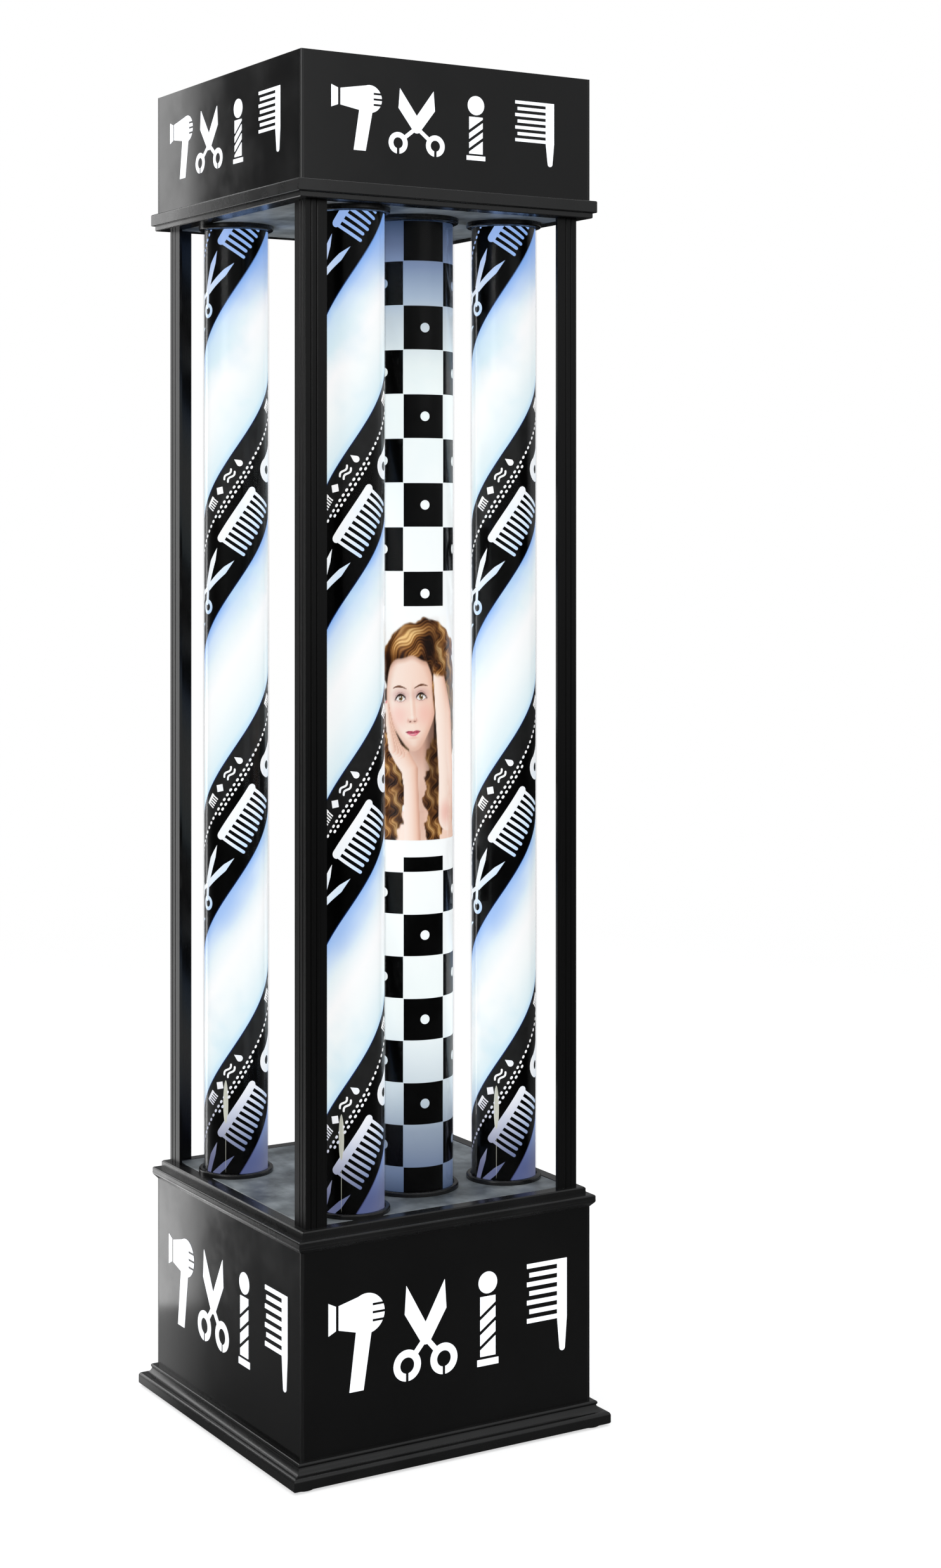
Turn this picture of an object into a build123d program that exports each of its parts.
from build123d import *
import os
from math import cos, radians, sin

# Floor-standing salon light tower: a base box and a head box joined by four corner posts,
# with five lit poles between them whose printed drums turn about their own vertical axes.
# Millimetres, +Z up, origin on the floor at the centre of the square footprint, front towards -Y.

# ---- boxes and levels -----------------------------------------------------------------------
BOX = 430.0
HALF = BOX / 2
FOOT_HEIGHT = 3.0
PLINTH_STEP_TOP = 19.0
PLINTH_TOP = 32.0
BASE_TOP = 289.0
DECK_TOP = 314.0
CEILING_UNDERSIDE = 1598.0
HEAD_BOTTOM = 1621.0
HEAD_TOP = 1782.0

PLINTH_OVERHANG = 20.0
PLINTH_BEAD_OVERHANG = 6.5
DECK_NOSE_OVERHANG = 5.5
HEAD_NOSE_OVERHANG = 7.0
HEAD_STEP_OVERHANG = 2.7
RING_WIDTH = 22.0
RING_INNER = HALF - RING_WIDTH

# ---- sheets and frame -----------------------------------------------------------------------
PANEL = 4.0
DIFFUSER = 2.0
DIFFUSER_MARGIN = 2.0
PICTOGRAM_PROUD = 0.6
FLOOR_BOARD = 20.0
BATTEN = 30.0
POST_LEG = 30.0
POST_WALL = 4.0
POST_INSET = 13.0
POST_BOTTOM = 120.0
POST_TOP = 1700.0
POST_GROOVE = 1.6
POST_OUTER = HALF - POST_INSET
BATTEN_OUTER = POST_OUTER - POST_WALL
BATTEN_CENTRE = BATTEN_OUTER - BATTEN / 2

# ---- pictogram rows: each column's left and right edge, in the order they stand --------------
BASE_ROW = dict(height=121.0, stroke=20.0, level=166.0,
                columns=((-177.0, -97.0), (-84.0, 10.0), (40.0, 72.0), (116.0, 178.0)))
HEAD_ROW = dict(height=83.0, stroke=17.0, level=1703.0,
                columns=((-173.0, -101.0), (-91.0, -9.0), (24.0, 52.0), (98.0, 158.0)))

# ---- poles: centre, clear tube radius, lamp bar width ----------------------------------------
PINWHEEL_NEAR = 108.0
PINWHEEL_FAR = 147.0
SLIM_RADIUS = 45.0
WIDE_RADIUS = 57.0
SLIM_LAMP = 20.0
WIDE_LAMP = 30.0
POLES = {
    "front": (-PINWHEEL_NEAR, -PINWHEEL_FAR, SLIM_RADIUS, SLIM_LAMP),
    "right": (PINWHEEL_FAR, -PINWHEEL_NEAR, SLIM_RADIUS, SLIM_LAMP),
    "rear": (PINWHEEL_NEAR, PINWHEEL_FAR, SLIM_RADIUS, SLIM_LAMP),
    "left": (-PINWHEEL_FAR, PINWHEEL_NEAR, SLIM_RADIUS, SLIM_LAMP),
    "wide": (17.0, -85.0, WIDE_RADIUS, WIDE_LAMP),
}
TUBE_WALL = 1.5
DRUM_GAP = 0.6
DRUM_WALL = 1.2
DRUM_BOTTOM = DECK_TOP + 3.0
DRUM_TOP = CEILING_UNDERSIDE - 8.0
COLLAR_WIDTH = 5.5
LOWER_COLLAR_HEIGHT = 6.0
UPPER_COLLAR_HEIGHT = 7.0
HUB_THICKNESS = 8.0
HUB_BOTTOM = DRUM_BOTTOM + 2.0
BOSS_RADIUS = 12.0
BOSS_BOTTOM = DECK_TOP + 1.0
SHAFT_RADIUS = 4.0
SHAFT_BOTTOM = BASE_TOP - 19.0
SHAFT_HOLE = 14.0
RUNNING_CLEARANCE = 0.05
SPIGOT_RADIUS = 22.0
SPIGOT_BOTTOM = CEILING_UNDERSIDE - 30.0
GUIDE_BOTTOM = SPIGOT_BOTTOM + 4.0
LAMP_BOTTOM = HUB_BOTTOM + HUB_THICKNESS + 12.0
LAMP_SOCKET = 4.0
STRIP_THICKNESS = 1.5
STRIP_MARGIN = 15.0
FLANGE_RADIUS = 34.0
FLANGE_THICKNESS = 4.0

MOTOR_RADIUS = 21.0
MOTOR_HEIGHT = 46.0
MOTOR_PLATE = 2.0
MOTOR_SCREW_OFFSET = 26.0

# ---- screws ---------------------------------------------------------------------------------
SCREW_RADIUS = 1.75
SCREW_HEAD_RADIUS = 3.6
SCREW_HEAD_HEIGHT = 2.2
SCREW_LENGTH = 14.0
POST_SCREW_LEVELS = (160.0, 250.0, 1650.0, 1685.0)
POST_SCREW_FROM_CORNER = 19.0
PANEL_SCREW_FROM_BOTTOM = 14.0
BACK_SCREW_LENGTH = HALF - BATTEN_OUTER + 10.0

# ---- power inlet on the back of the base ------------------------------------------------------
INLET_X = -146.0
INLET_Z = 68.0
INLET_FLANGE = (31.0, 58.0, 2.5)
INLET_BODY = (27.0, 47.0, 30.0)
CONNECTOR_SIZE = (24.5, 17.0, 16.0)
CONNECTOR_DROP = -12.0
ROCKER_SIZE = (18.6, 12.6)
ROCKER_RISE = 15.5
ROCKER_TILT = 8.0
DRAWER_SIZE = (20.0, 5.6, 22.0)
DRAWER_RISE = 3.0
MOVING_GAP = 0.4

# ---- helpers --------------------------------------------------------------------------------
SIDES = ("front", "right", "back", "left")


def four_turns(shape):
    """The shape and its copies turned by 90, 180 and 270 degrees about Z."""
    return [Rot(0, 0, 90 * turn) * shape for turn in range(4)]


def group(solids):
    """One compound of separate solids."""
    return Compound(children=[solid for item in solids for solid in item.solids()])


def block(x0, x1, y0, y1, z0, z1):
    """A box between two corners."""
    return Pos((x0 + x1) / 2, (y0 + y1) / 2, (z0 + z1) / 2) * Box(x1 - x0, y1 - y0, z1 - z0)


def rod(x, y, radius, z0, z1):
    """An upright cylinder between two levels."""
    return Pos(x, y, (z0 + z1) / 2) * Cylinder(radius, z1 - z0)


def pipe(x, y, outer, inner, z0, z1):
    """An upright tube between two levels."""
    return rod(x, y, outer, z0, z1) - rod(x, y, inner, z0 - 1, z1 + 1)


def screw(at, axis, shank=SCREW_LENGTH):
    """A pan-head screw whose head rests at a point and whose shank runs along an axis."""
    seat = Plane(origin=at, z_dir=axis)
    shaft = seat * Pos(0, 0, shank / 2) * Cylinder(SCREW_RADIUS, shank)
    head = seat * Pos(0, 0, -SCREW_HEAD_HEIGHT / 2) * Cylinder(SCREW_HEAD_RADIUS, SCREW_HEAD_HEIGHT)
    crown = head.faces().sort_by(Axis(at, axis))[0]
    return shaft + fillet(crown.edges(), 0.9)


def screw_hole(at, axis, shank=SCREW_LENGTH):
    """The hole that a screw's shank fills."""
    return Plane(origin=at, z_dir=axis) * Pos(0, 0, shank / 2) * Cylinder(SCREW_RADIUS, shank)


# ---- mouldings ------------------------------------------------------------------------------
def mitred(profile):
    """Four lengths of a profile, drawn as distance from the centre and level, meeting at 45 degrees."""
    reach = HALF + 40
    along = Plane(origin=(reach, 0, 0), x_dir=(0, -1, 0), z_dir=(-1, 0, 0))
    length = extrude(along * profile, 2 * reach)
    quarter = make_face(Polyline((0, 0), (2 * reach, -2 * reach), (-2 * reach, -2 * reach), close=True))
    return four_turns(length & extrude(quarter, HEAD_TOP))


def plinth_moulding():
    """Square step with a rounded nose, then a cove up to a small bead under the panels."""
    edge = HALF + PLINTH_OVERHANG
    bead = HALF + PLINTH_BEAD_OVERHANG
    round_over = 5.0
    turn = round_over * (1 - cos(radians(45)))
    outline = [
        Line((RING_INNER, FOOT_HEIGHT), (edge - 1.5, FOOT_HEIGHT)),
        Line((edge - 1.5, FOOT_HEIGHT), (edge, FOOT_HEIGHT + 1.5)),
        Line((edge, FOOT_HEIGHT + 1.5), (edge, PLINTH_STEP_TOP - round_over)),
        ThreePointArc((edge, PLINTH_STEP_TOP - round_over), (edge - turn, PLINTH_STEP_TOP - turn),
                      (edge - round_over, PLINTH_STEP_TOP)),
        Line((edge - round_over, PLINTH_STEP_TOP), (bead + 6, PLINTH_STEP_TOP)),
        ThreePointArc((bead + 6, PLINTH_STEP_TOP), (bead + 1.6, PLINTH_STEP_TOP + 3.2),
                      (bead - 0.5, PLINTH_TOP - 5)),
        ThreePointArc((bead - 0.5, PLINTH_TOP - 5), (bead + 0.8, PLINTH_TOP - 2.2), (bead - 1, PLINTH_TOP)),
        Line((bead - 1, PLINTH_TOP), (RING_INNER, PLINTH_TOP)),
        Line((RING_INNER, PLINTH_TOP), (RING_INNER, FOOT_HEIGHT)),
    ]
    return group(mitred(make_face(outline)))


def deck_moulding():
    """Slanted underside, rounded nose and a set-back step level with the deck."""
    nose = HALF + DECK_NOSE_OVERHANG
    step = HALF - 4.0
    nose_bottom = BASE_TOP + 5.0
    nose_top = DECK_TOP - 9.5
    outline = [
        Line((RING_INNER, BASE_TOP), (HALF, BASE_TOP)),
        Line((HALF, BASE_TOP), (nose - 1, nose_bottom)),
        ThreePointArc((nose - 1, nose_bottom), (nose, nose_bottom + 2), (nose, nose_bottom + 4)),
        Line((nose, nose_bottom + 4), (nose, nose_top - 2.5)),
        ThreePointArc((nose, nose_top - 2.5), (nose - 0.7, nose_top - 0.7), (nose - 2.5, nose_top)),
        Line((nose - 2.5, nose_top), (step, nose_top)),
        Line((step, nose_top), (step, DECK_TOP - 1.5)),
        Line((step, DECK_TOP - 1.5), (step - 1.5, DECK_TOP)),
        Line((step - 1.5, DECK_TOP), (RING_INNER + 1, DECK_TOP)),
        Line((RING_INNER + 1, DECK_TOP), (RING_INNER, DECK_TOP - 1.5)),
        Line((RING_INNER, DECK_TOP - 1.5), (RING_INNER, BASE_TOP)),
    ]
    slots = post_slots(BASE_TOP, DECK_TOP)
    return group([piece - slots for piece in mitred(make_face(outline))])


def head_moulding():
    """Low step with a deeper nose above it, under the head panels."""
    nose = HALF + HEAD_NOSE_OVERHANG
    step = HALF + HEAD_STEP_OVERHANG
    nose_bottom = CEILING_UNDERSIDE + 7.0
    outline = [
        Line((RING_INNER, CEILING_UNDERSIDE), (step - 1, CEILING_UNDERSIDE)),
        Line((step - 1, CEILING_UNDERSIDE), (step, CEILING_UNDERSIDE + 1)),
        Line((step, CEILING_UNDERSIDE + 1), (step, nose_bottom)),
        Line((step, nose_bottom), (nose - 1.5, nose_bottom)),
        ThreePointArc((nose - 1.5, nose_bottom), (nose - 0.4, nose_bottom + 0.4), (nose, nose_bottom + 1.5)),
        Line((nose, nose_bottom + 1.5), (nose, HEAD_BOTTOM - 2)),
        ThreePointArc((nose, HEAD_BOTTOM - 2), (nose - 0.6, HEAD_BOTTOM - 0.6), (nose - 2, HEAD_BOTTOM)),
        Line((nose - 2, HEAD_BOTTOM), (RING_INNER, HEAD_BOTTOM)),
        Line((RING_INNER, HEAD_BOTTOM), (RING_INNER, CEILING_UNDERSIDE)),
    ]
    slots = post_slots(CEILING_UNDERSIDE, HEAD_BOTTOM)
    return group([piece - slots for piece in mitred(make_face(outline))])


# ---- corner posts ---------------------------------------------------------------------------
def angle_section(z0, z1):
    """Plain L-angle at the front left corner between two levels, without its decorative grooves."""
    corner, end, inner = -POST_OUTER, -POST_OUTER + POST_LEG, -POST_OUTER + POST_WALL
    return block(corner, end, corner, inner, z0, z1) + block(corner, inner, inner, end, z0, z1)


def post_slots(z0, z1):
    """The four L-shaped slots through which the posts pass a moulding."""
    return Part() + four_turns(angle_section(z0 - 1, z1 + 1))


def post_screw_seats(turn):
    """Seat point and direction of each screw that fixes one post to its battens."""
    seats = []
    for level in POST_SCREW_LEVELS:
        for along_x in (True, False):
            offset = -POST_OUTER + POST_SCREW_FROM_CORNER
            point = Vector(offset, -POST_OUTER, level) if along_x else Vector(-POST_OUTER, offset, level + 8)
            axis = Vector(0, 1, 0) if along_x else Vector(1, 0, 0)
            seats.append((point.rotate(Axis.Z, 90 * turn), axis.rotate(Axis.Z, 90 * turn)))
    return seats


def corner_post(turn):
    """L-angle with two shallow V grooves down each outer face, bored for its screws."""
    post = angle_section(POST_BOTTOM, POST_TOP)
    height = POST_TOP - POST_BOTTOM
    for distance in (8.0, 16.0):
        cutter = Box(POST_GROOVE, POST_GROOVE, height)
        middle = (POST_TOP + POST_BOTTOM) / 2
        post -= Pos(-POST_OUTER + distance, -POST_OUTER, middle) * Rot(0, 0, 45) * cutter
        post -= Pos(-POST_OUTER, -POST_OUTER + distance, middle) * Rot(0, 0, 45) * cutter
    post = Rot(0, 0, 90 * turn) * post
    for point, axis in post_screw_seats(turn):
        post -= screw_hole(point, axis)
    for point, axis in back_screw_seats():
        post -= screw_hole(point, axis, BACK_SCREW_LENGTH)
    return post


def post_screws():
    """All the screws that hold the posts to the battens."""
    return group([screw(point, axis) for turn in range(4) for point, axis in post_screw_seats(turn)])


def battens(z0, z1):
    """Four square corner battens, bored for the screws that enter them from the posts."""
    pieces = []
    for turn in range(4):
        batten = Pos(-BATTEN_CENTRE, -BATTEN_CENTRE, (z0 + z1) / 2) * Box(BATTEN, BATTEN, z1 - z0)
        batten = Rot(0, 0, 90 * turn) * batten
        for point, axis in post_screw_seats(turn):
            if z0 < point.Z < z1:
                batten -= screw_hole(point, axis)
        pieces.append(batten)
    return pieces


# ---- pictograms -----------------------------------------------------------------------------
def bar(x0, y0, x1, y1):
    """An upright rectangle between two corners."""
    return Pos((x0 + x1) / 2, (y0 + y1) / 2) * Rectangle(abs(x1 - x0), abs(y1 - y0))


def comb_sign(width, height, stroke):
    """A tail comb on end: teeth to the left of its upper part and a tapering tail below."""
    spine = stroke * 0.75
    left, right = -width / 2, width / 2
    shoulder = -0.14 * height
    tail_end = spine * 0.28
    sign = bar(right - spine, shoulder, right, height / 2)
    tail_x, tail_y = right - spine * 0.2 - tail_end, -height / 2 + tail_end
    sign += make_face(Polyline((right - spine, shoulder), (right, shoulder), (tail_x + tail_end, tail_y),
                               (tail_x - tail_end, tail_y), close=True))
    sign += Pos(tail_x, tail_y) * Circle(tail_end)
    teeth = 7
    tooth = (height / 2 - shoulder) / (2 * teeth - 1)
    for index in range(teeth):
        level = shoulder + tooth * (2 * index + 0.5)
        sign += bar(left + 0.06 * width * (index % 2), level - tooth / 2, right - spine, level + tooth / 2)
    return sign


def scissors_sign(width, height, stroke):
    """Open scissors with the points up; each finger ring has a narrow bridge that holds its middle."""
    pivot = -0.08 * height
    ring = 0.165 * height
    hole = 0.085 * height
    sign = Sketch()
    for side in (-1, 1):
        tip = (side * width * 0.30, height / 2)
        eye = (-side * (width / 2 - ring), -height / 2 + ring)
        heel = (side * -stroke * 0.35, pivot - stroke * 0.25)
        back = (side * stroke * 0.42, pivot - stroke * 0.10)
        sign += make_face(Polyline(heel, back, (tip[0] + side * stroke * 0.12, height * 0.2), tip,
                                   (side * -stroke * 0.28, pivot + stroke * 0.5), close=True))
        shank = stroke * 0.24
        sign += make_face(Polyline((-shank, pivot), (shank, pivot), (eye[0] + shank, eye[1]),
                                   (eye[0] - shank, eye[1]), close=True))
        sign += Pos(*eye) * Circle(ring)
        sign -= Pos(*eye) * Circle(hole)
        sign -= bar(eye[0] - 2.0, eye[1] - ring - 1, eye[0] + 2.0, eye[1])
    sign += Pos(0, pivot) * Circle(stroke * 0.42)
    return sign


def pole_sign(width, height, stroke):
    """A small striped pole with a ball on top and a foot, cut by two slanting stripes."""
    body = width * 0.72
    ball = width * 0.44
    sign = Pos(0, height / 2 - ball) * Circle(ball)
    sign += bar(-width / 2, -height / 2, width / 2, -height / 2 + 0.07 * height)
    shaft_top = height / 2 - 2 * ball - 0.03 * height
    shaft_bottom = -height / 2 + 0.10 * height
    shaft = bar(-body / 2, shaft_bottom, body / 2, shaft_top)
    for share in (0.25, 0.5, 0.75):
        middle = shaft_bottom + (shaft_top - shaft_bottom) * share
        shaft -= Pos(0, middle) * Rot(0, 0, 35) * Rectangle(width * 2, stroke * 0.22)
    return sign + shaft


def dryer_sign(width, height, stroke):
    """A hand dryer pointing left: a barrel with a separate nozzle, a slanting handle and rear slots."""
    barrel = 0.42 * height
    level = height / 2 - barrel / 2
    left, right = -width / 2, width / 2
    drum_x = right - barrel / 2
    sign = Pos(drum_x, level) * Circle(barrel / 2)
    mouth, collar = left + 0.18 * width, left + 0.13 * width
    sign += make_face(Polyline((drum_x, level + barrel / 2), (mouth, level + barrel * 0.30),
                               (mouth, level - barrel * 0.30), (drum_x, level - barrel / 2), close=True))
    top = right - barrel * 0.30
    sign += make_face(Polyline((top, level), (top - stroke * 1.15, level), (top - stroke * 1.75, -height / 2),
                               (top - stroke * 0.75, -height / 2), close=True))
    for index in (-1, 0, 1):
        slot = level + index * barrel * 0.2
        sign -= bar(right - barrel * 0.34, slot - stroke * 0.08, right + 1, slot + stroke * 0.08)
    sign += make_face(Polyline((collar, level + barrel * 0.30), (left, level + barrel * 0.40),
                               (left, level - barrel * 0.40), (collar, level - barrel * 0.30), close=True))
    return sign


def sign_row(height, stroke, level, columns):
    """The four pictograms of one face, each centred in its column, as one flat sketch."""
    makers = (dryer_sign, scissors_sign, pole_sign, comb_sign)
    row = Sketch()
    for maker, (x0, x1) in zip(makers, columns):
        row += Pos((x0 + x1) / 2, level) * maker(x1 - x0, height, stroke)
    return row


def raised(row, inner, outer):
    """Stand a flat sketch up on the front face, between two distances from the centre."""
    face = Plane(origin=(0, -outer, 0), x_dir=(1, 0, 0), z_dir=(0, -1, 0))
    return extrude(face * row, inner - outer)


def pictograms(row):
    """Opal inserts of the four faces, bonded to the diffusers and standing just proud of the panels."""
    return group(four_turns(raised(sign_row(**row), HALF - PANEL, HALF + PICTOGRAM_PROUD)))


def sign_panel(bottom, top, row, turn):
    """Black sheet between two corner trims, with the four pictograms cut through it."""
    sheet = block(-HALF + PANEL, HALF - PANEL, -HALF, -HALF + PANEL, bottom, top)
    sheet -= raised(sign_row(**row), HALF - PANEL - 1, HALF + 1)
    return Rot(0, 0, 90 * turn) * sheet


def diffusers(bottom, top):
    """Opal sheets behind the panels of one box."""
    reach = HALF - PANEL - DIFFUSER
    sheet = block(-reach, reach, -HALF + PANEL, -HALF + PANEL + DIFFUSER,
                  bottom + DIFFUSER_MARGIN, top - DIFFUSER_MARGIN)
    return four_turns(sheet)


def corner_trims():
    """Slim square strips that close the upright corners between the panels."""
    trims = []
    for bottom, top in ((PLINTH_TOP, BASE_TOP), (HEAD_BOTTOM, HEAD_TOP)):
        strip = block(-HALF, -HALF + PANEL, -HALF, -HALF + PANEL, bottom, top)
        upright = strip.edges().filter_by(Axis.Z)
        outermost = upright.sort_by(lambda edge: edge.center().X + edge.center().Y)[0]
        trims += four_turns(chamfer(outermost, 0.8))
    return group(trims)


# ---- base and head boards -------------------------------------------------------------------
def rubber_feet():
    """Four round pads under the corners of the plinth."""
    spread = HALF - 2
    return group(four_turns(rod(-spread, -spread, 16.0, 0, FOOT_HEIGHT)))


def base_floor():
    """Board inside the plinth that carries the battens and the driver."""
    return block(-RING_INNER, RING_INNER, -RING_INNER, RING_INNER, PLINTH_TOP - FLOOR_BOARD, PLINTH_TOP)


def deck_board():
    """Board that the poles stand on, bored for the drive shafts and the motor screws."""
    deck = block(-RING_INNER, RING_INNER, -RING_INNER, RING_INNER, BASE_TOP, DECK_TOP)
    deck = chamfer(deck.faces().sort_by(Axis.Z)[-1].edges(), 1.2)
    for x, y, radius, lamp in POLES.values():
        deck -= rod(x, y, SHAFT_HOLE, BASE_TOP - 1, DECK_TOP + 1)
    for point, axis in motor_screw_seats():
        deck -= screw_hole(point, axis)
    return deck


def ceiling_board():
    """Board that the poles hang from, bored for the lamp spigots."""
    board = block(-RING_INNER, RING_INNER, -RING_INNER, RING_INNER, CEILING_UNDERSIDE, HEAD_BOTTOM)
    for x, y, radius, lamp in POLES.values():
        board -= rod(x, y, spigot_radius(lamp), CEILING_UNDERSIDE - 1, HEAD_BOTTOM + 1)
    return board


def head_top_panel():
    """Lid of the head box, set in level with the tops of the panels."""
    reach = HALF - PANEL
    lid = block(-reach, reach, -reach, reach, HEAD_TOP - PANEL, HEAD_TOP)
    for point, axis in lid_screw_seats():
        lid -= screw_hole(point, axis)
    return lid


def lid_screw_seats():
    """Seats of the four screws through the lid into the head battens."""
    seat = Vector(-BATTEN_CENTRE, -BATTEN_CENTRE, HEAD_TOP)
    return [(seat.rotate(Axis.Z, 90 * turn), Vector(0, 0, -1)) for turn in range(4)]


def back_screw_seats():
    """Seats of the four screws through the removable back panel into the base battens."""
    seats = []
    for x in (-BATTEN_CENTRE, BATTEN_CENTRE):
        for z in (PLINTH_TOP + PANEL_SCREW_FROM_BOTTOM, BASE_TOP - PANEL_SCREW_FROM_BOTTOM):
            seats.append((Vector(x, HALF, z), Vector(0, -1, 0)))
    return seats


def panel_screws():
    """Screws of the back panel and of the lid."""
    back = [screw(point, axis, BACK_SCREW_LENGTH) for point, axis in back_screw_seats()]
    return group(back + [screw(point, axis) for point, axis in lid_screw_seats()])


def base_battens():
    """Corner battens of the base, bored for the back panel's screws too."""
    pieces = battens(PLINTH_TOP, BASE_TOP)
    for point, axis in back_screw_seats():
        pieces = [piece - screw_hole(point, axis, BACK_SCREW_LENGTH) for piece in pieces]
    return group(pieces)


def head_battens():
    """Corner battens of the head, bored for the lid's screws too."""
    pieces = battens(HEAD_BOTTOM, HEAD_TOP - PANEL)
    for point, axis in lid_screw_seats():
        pieces = [piece - screw_hole(point, axis) for piece in pieces]
    return group(pieces)


def base_back_panel():
    """Back panel of the base, cut for the power inlet and its own screws."""
    panel = sign_panel(PLINTH_TOP, BASE_TOP, BASE_ROW, 2) - inlet_cutout()
    for point, axis in back_screw_seats():
        panel -= screw_hole(point, axis, BACK_SCREW_LENGTH)
    return panel


def base_diffusers():
    """Diffusers of the base; the back one makes room for the inlet and the screws."""
    sheets = [sheet - inlet_cutout() for sheet in diffusers(PLINTH_TOP, BASE_TOP)]
    for point, axis in back_screw_seats():
        sheets = [sheet - screw_hole(point, axis, BACK_SCREW_LENGTH) for sheet in sheets]
    return group(sheets)


# ---- poles ----------------------------------------------------------------------------------
def spigot_radius(lamp):
    """Radius of the fixed spigot that guides a drum, for a lamp bar width."""
    return SPIGOT_RADIUS + (lamp - SLIM_LAMP) * 0.7


def drum_radius(radius):
    """Outer radius of the printed drum inside a clear tube."""
    return radius - TUBE_WALL - DRUM_GAP


def clear_tube(x, y, radius, lamp):
    """Fixed clear sleeve from the deck to the ceiling."""
    return pipe(x, y, radius, radius - TUBE_WALL, DECK_TOP, CEILING_UNDERSIDE)


def printed_drum(x, y, radius, lamp):
    """Thin tube that carries the printed film."""
    outer = drum_radius(radius)
    return pipe(x, y, outer, outer - DRUM_WALL, DRUM_BOTTOM, DRUM_TOP)


def drive_hub(x, y, radius, lamp):
    """Disc pressed into the foot of a drum, with six light holes, a boss and a stub drive shaft."""
    rim = drum_radius(radius) - DRUM_WALL
    hub = rod(x, y, rim, HUB_BOTTOM, HUB_BOTTOM + HUB_THICKNESS)
    for index in range(6):
        angle = radians(60 * index)
        hub -= rod(x + 0.62 * rim * cos(angle), y + 0.62 * rim * sin(angle), 0.2 * rim,
                   HUB_BOTTOM - 1, HUB_BOTTOM + HUB_THICKNESS + 1)
    hub += rod(x, y, BOSS_RADIUS, BOSS_BOTTOM, HUB_BOTTOM)
    return hub + rod(x, y, SHAFT_RADIUS, SHAFT_BOTTOM, BOSS_BOTTOM)


def guide_ring(x, y, radius, lamp):
    """Ring pressed into the top of a drum, which runs on the fixed spigot."""
    rim = drum_radius(radius) - DRUM_WALL
    bore = spigot_radius(lamp) + RUNNING_CLEARANCE
    return pipe(x, y, rim, bore, GUIDE_BOTTOM, GUIDE_BOTTOM + HUB_THICKNESS)


def lower_collar(x, y, radius, lamp):
    """Low ring on the deck around the foot of a clear tube, with a rounded outer edge."""
    ring = pipe(x, y, radius + COLLAR_WIDTH, radius, DECK_TOP, DECK_TOP + LOWER_COLLAR_HEIGHT)
    rim = ring.edges().group_by(Axis.Z)[-1].sort_by(lambda edge: edge.length)[-1]
    return fillet(rim, 2.5)


def upper_collar(x, y, radius, lamp):
    """Ring under the ceiling around the top of a clear tube, with a rounded outer edge."""
    bottom = CEILING_UNDERSIDE - UPPER_COLLAR_HEIGHT
    ring = pipe(x, y, radius + COLLAR_WIDTH, radius, bottom, CEILING_UNDERSIDE)
    rim = ring.edges().group_by(Axis.Z)[0].sort_by(lambda edge: edge.length)[-1]
    return fillet(rim, 2.5)


def motor_screw_seats():
    """Seats of the two screws of each gear motor, driven up into the deck."""
    return [(Vector(x + side * MOTOR_SCREW_OFFSET, y, BASE_TOP - MOTOR_PLATE), Vector(0, 0, 1))
            for x, y, radius, lamp in POLES.values() for side in (-1, 1)]


def gear_motor(x, y, radius, lamp):
    """Synchronous gear motor hung under the deck, with a hollow output that takes the hub's shaft."""
    plate = block(x - MOTOR_SCREW_OFFSET - 6, x + MOTOR_SCREW_OFFSET + 6, y - 11, y + 11,
                  BASE_TOP - MOTOR_PLATE, BASE_TOP)
    can = rod(x, y, MOTOR_RADIUS, BASE_TOP - MOTOR_HEIGHT, BASE_TOP - MOTOR_PLATE)
    can = fillet(can.edges().group_by(Axis.Z)[0], 2.0)
    terminal = block(x - 7, x + 7, y + MOTOR_RADIUS - 3, y + MOTOR_RADIUS + 7,
                     BASE_TOP - MOTOR_HEIGHT + 6, BASE_TOP - MOTOR_HEIGHT + 18)
    motor = plate + can + terminal
    motor -= rod(x, y, SHAFT_RADIUS + RUNNING_CLEARANCE, SHAFT_BOTTOM - 1, BASE_TOP + 1)
    for point, axis in motor_screw_seats():
        motor -= screw_hole(point, axis)
    return motor


def lamp_bar(x, y, radius, lamp):
    """Square aluminium tube that hangs in the middle of a drum and carries the light strips."""
    height = SPIGOT_BOTTOM + LAMP_SOCKET - LAMP_BOTTOM
    middle = Pos(x, y, LAMP_BOTTOM + height / 2)
    outside = fillet(Box(lamp, lamp, height).edges().filter_by(Axis.Z), 1.0)
    return middle * (outside - Box(lamp - 4, lamp - 4, height + 2))


def lamp_strips(x, y, radius, lamp):
    """Four light strips on the faces of a lamp bar."""
    inner = lamp / 2
    strip = block(-4, 4, -inner - STRIP_THICKNESS, -inner,
                  LAMP_BOTTOM + STRIP_MARGIN, SPIGOT_BOTTOM - STRIP_MARGIN)
    return [Pos(x, y, 0) * piece for piece in four_turns(strip)]


def sign_strips():
    """Light strips on the outer faces of the battens, behind the diffusers."""
    strips = []
    for bottom, top in ((PLINTH_TOP + 60, BASE_TOP - 20), (HEAD_BOTTOM + 15, POST_TOP - 35)):
        inner_end = -BATTEN_CENTRE + BATTEN / 2
        strip = block(inner_end, inner_end + STRIP_THICKNESS,
                      -BATTEN_CENTRE - 4, -BATTEN_CENTRE + 4, bottom, top)
        strips += four_turns(strip)
    return strips


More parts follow.
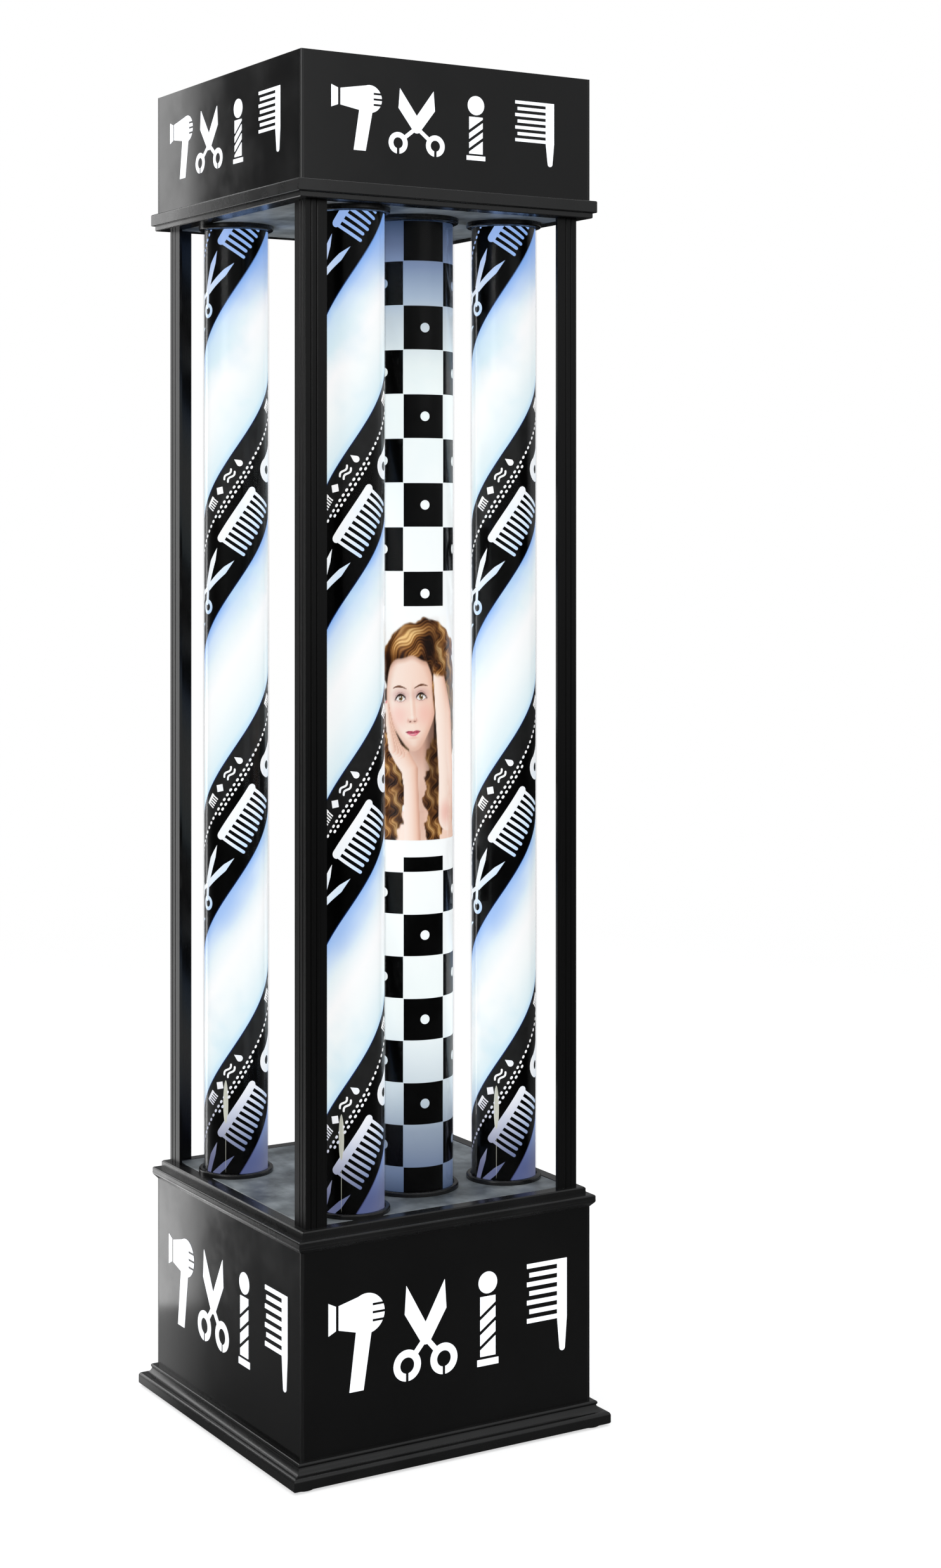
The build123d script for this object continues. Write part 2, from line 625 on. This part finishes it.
def lamp_flange(x, y, radius, lamp):
    """Disc on top of the ceiling board with a spigot that holds the lamp bar and guides the drum."""
    spigot = spigot_radius(lamp)
    flange = rod(x, y, FLANGE_RADIUS, HEAD_BOTTOM, HEAD_BOTTOM + FLANGE_THICKNESS)
    flange += rod(x, y, spigot, SPIGOT_BOTTOM, HEAD_BOTTOM)
    flange -= rod(x, y, 5.0, SPIGOT_BOTTOM - 1, HEAD_BOTTOM + FLANGE_THICKNESS + 1)
    socket = Pos(x, y, SPIGOT_BOTTOM + LAMP_SOCKET / 2) * Box(lamp, lamp, LAMP_SOCKET)
    return flange - fillet(socket.edges().filter_by(Axis.Z), 1.0)


# ---- electrics ------------------------------------------------------------------------------
def inlet_block(width, height, depth, rise=0.0, front=0.0):
    """A box of the inlet: width along X, height along Z, and depth inwards from a step before the panel."""
    return block(INLET_X - width / 2, INLET_X + width / 2, HALF + front - depth, HALF + front,
                 INLET_Z + rise - height / 2, INLET_Z + rise + height / 2)


def inlet_cutout():
    """The opening of the back panel and its diffuser for the inlet's body."""
    return inlet_block(INLET_BODY[0], INLET_BODY[1], INLET_BODY[2], front=1)


def power_inlet():
    """Three-pin appliance inlet with a recess for the plug, a rocker opening and a fuse drawer slot."""
    flange_width, flange_height, flange_depth = INLET_FLANGE
    flange = inlet_block(flange_width, flange_height, flange_depth, front=flange_depth)
    flange = fillet(flange.edges().filter_by(Axis.Y), 3.0)
    flange = chamfer(flange.faces().sort_by(Axis.Y)[-1].edges(), 0.6)
    body = flange + inlet_block(*INLET_BODY)
    width, height, depth = CONNECTOR_SIZE
    recess = inlet_block(width, height, depth + flange_depth + 1, CONNECTOR_DROP, flange_depth + 1)
    lower_corners = recess.edges().filter_by(Axis.Y).group_by(Axis.Z)[-1]
    body -= chamfer(lower_corners, 5.0)
    body -= inlet_block(ROCKER_SIZE[0] + 2 * MOVING_GAP, ROCKER_SIZE[1] + 2 * MOVING_GAP, 12.0,
                        ROCKER_RISE, flange_depth + 1)
    body -= inlet_block(DRAWER_SIZE[0] + 2 * MOVING_GAP, DRAWER_SIZE[1] + 2 * MOVING_GAP,
                        DRAWER_SIZE[2] + 4, DRAWER_RISE, flange_depth + 1)
    for dx, dz in ((-7.0, -2.0), (7.0, -2.0), (0.0, 2.0)):
        pin = block(INLET_X + dx - 1, INLET_X + dx + 1, HALF - depth - 1, HALF - 1.5,
                    INLET_Z + CONNECTOR_DROP + dz - 2, INLET_Z + CONNECTOR_DROP + dz + 2)
        body += pin
    return body


def rocker_switch():
    """Rocker of the mains switch, tilted to its off position about a level axis along X."""
    width, height = ROCKER_SIZE
    pivot_depth = 3.0
    outline = [
        Line((-height / 2 + 0.6, -2.5), (height / 2 - 0.6, -2.5)),
        Line((height / 2 - 0.6, -2.5), (height / 2 - 0.4, pivot_depth + 1.6)),
        ThreePointArc((height / 2 - 0.4, pivot_depth + 1.6), (0, pivot_depth + 0.4),
                      (-height / 2 + 0.4, pivot_depth + 1.6)),
        Line((-height / 2 + 0.4, pivot_depth + 1.6), (-height / 2 + 0.6, -2.5)),
    ]
    side = Plane(origin=(-width / 2, 0, 0), x_dir=(0, 0, 1), z_dir=(1, 0, 0))
    rocker = extrude(side * mirror(make_face(outline), Plane.XZ), width)
    return Pos(INLET_X, HALF - 1.5, INLET_Z + ROCKER_RISE) * Rot(ROCKER_TILT, 0, 0) * rocker


def fuse_drawer():
    """Drawer that carries the fuse, with a finger lip on its face."""
    width, height, depth = DRAWER_SIZE
    drawer = inlet_block(width, height, depth, DRAWER_RISE, INLET_FLANGE[2] + 0.4)
    lip = inlet_block(width * 0.5, 1.4, 1.2, DRAWER_RISE + height / 2 - 1.2, INLET_FLANGE[2] + 1.6)
    pocket = inlet_block(width - 4, height + 1, 6.5, DRAWER_RISE, -INLET_FLANGE[2] - 9)
    return drawer + lip - pocket


def led_driver():
    """Supply on the base floor: a finned case with two mounting ears."""
    case = block(-90, 90, 20, 84, PLINTH_TOP, PLINTH_TOP + 38)
    case = fillet(case.edges().filter_by(Axis.Z), 4.0)
    for index in range(8):
        x = -70 + 20 * index
        case -= block(x - 2.5, x + 2.5, 10, 94, PLINTH_TOP + 34, PLINTH_TOP + 39)
    for side in (-1, 1):
        ear = block(-12, 12, 42, 62, PLINTH_TOP, PLINTH_TOP + 3)
        ear -= rod(4, 52, 2.5, PLINTH_TOP - 1, PLINTH_TOP + 4)
        case += Pos(side * 96, 0, 0) * (ear if side > 0 else mirror(ear, Plane.YZ))
    return case


# ---- the whole object -----------------------------------------------------------------------
def build():
    """Every named piece of the tower."""
    nodes = {
        "rubber_feet": rubber_feet(),
        "plinth_moulding": plinth_moulding(),
        "base_floor": base_floor(),
        "base_battens": base_battens(),
        "base_diffusers": base_diffusers(),
        "base_pictograms": pictograms(BASE_ROW),
        "base_panel_back": base_back_panel(),
        "deck_moulding": deck_moulding(),
        "deck_board": deck_board(),
        "ceiling_board": ceiling_board(),
        "head_moulding": head_moulding(),
        "head_battens": head_battens(),
        "head_diffusers": group(diffusers(HEAD_BOTTOM, HEAD_TOP - PANEL + DIFFUSER_MARGIN)),
        "head_pictograms": pictograms(HEAD_ROW),
        "head_top_panel": head_top_panel(),
        "corner_trims": corner_trims(),
        "post_screws": post_screws(),
        "panel_screws": panel_screws(),
        "motor_screws": group([screw(point, axis) for point, axis in motor_screw_seats()]),
        "power_inlet": power_inlet(),
        "rocker_switch": rocker_switch(),
        "fuse_drawer": fuse_drawer(),
        "led_driver": led_driver(),
    }
    for turn, side in enumerate(SIDES):
        if side != "back":
            nodes["base_panel_" + side] = sign_panel(PLINTH_TOP, BASE_TOP, BASE_ROW, turn)
        nodes["head_panel_" + side] = sign_panel(HEAD_BOTTOM, HEAD_TOP, HEAD_ROW, turn)
    for turn, corner in enumerate(("front_left", "front_right", "back_right", "back_left")):
        nodes["corner_post_" + corner] = corner_post(turn)
    for name, pole in POLES.items():
        nodes["clear_tube_" + name] = clear_tube(*pole)
        nodes["printed_drum_" + name] = printed_drum(*pole)
        nodes["drive_hub_" + name] = drive_hub(*pole)
        nodes["guide_ring_" + name] = guide_ring(*pole)
    for name, maker in (("lower_collars", lower_collar), ("upper_collars", upper_collar),
                        ("gear_motors", gear_motor), ("lamp_bars", lamp_bar), ("lamp_flanges", lamp_flange)):
        nodes[name] = group([maker(*pole) for pole in POLES.values()])
    pole_strips = [strip for pole in POLES.values() for strip in lamp_strips(*pole)]
    nodes["light_strips"] = group(pole_strips + sign_strips())
    return nodes


os.makedirs("parts", exist_ok=True)
for node_name, node_shape in build().items():
    export_step(node_shape, os.path.join("parts", node_name + ".step"))
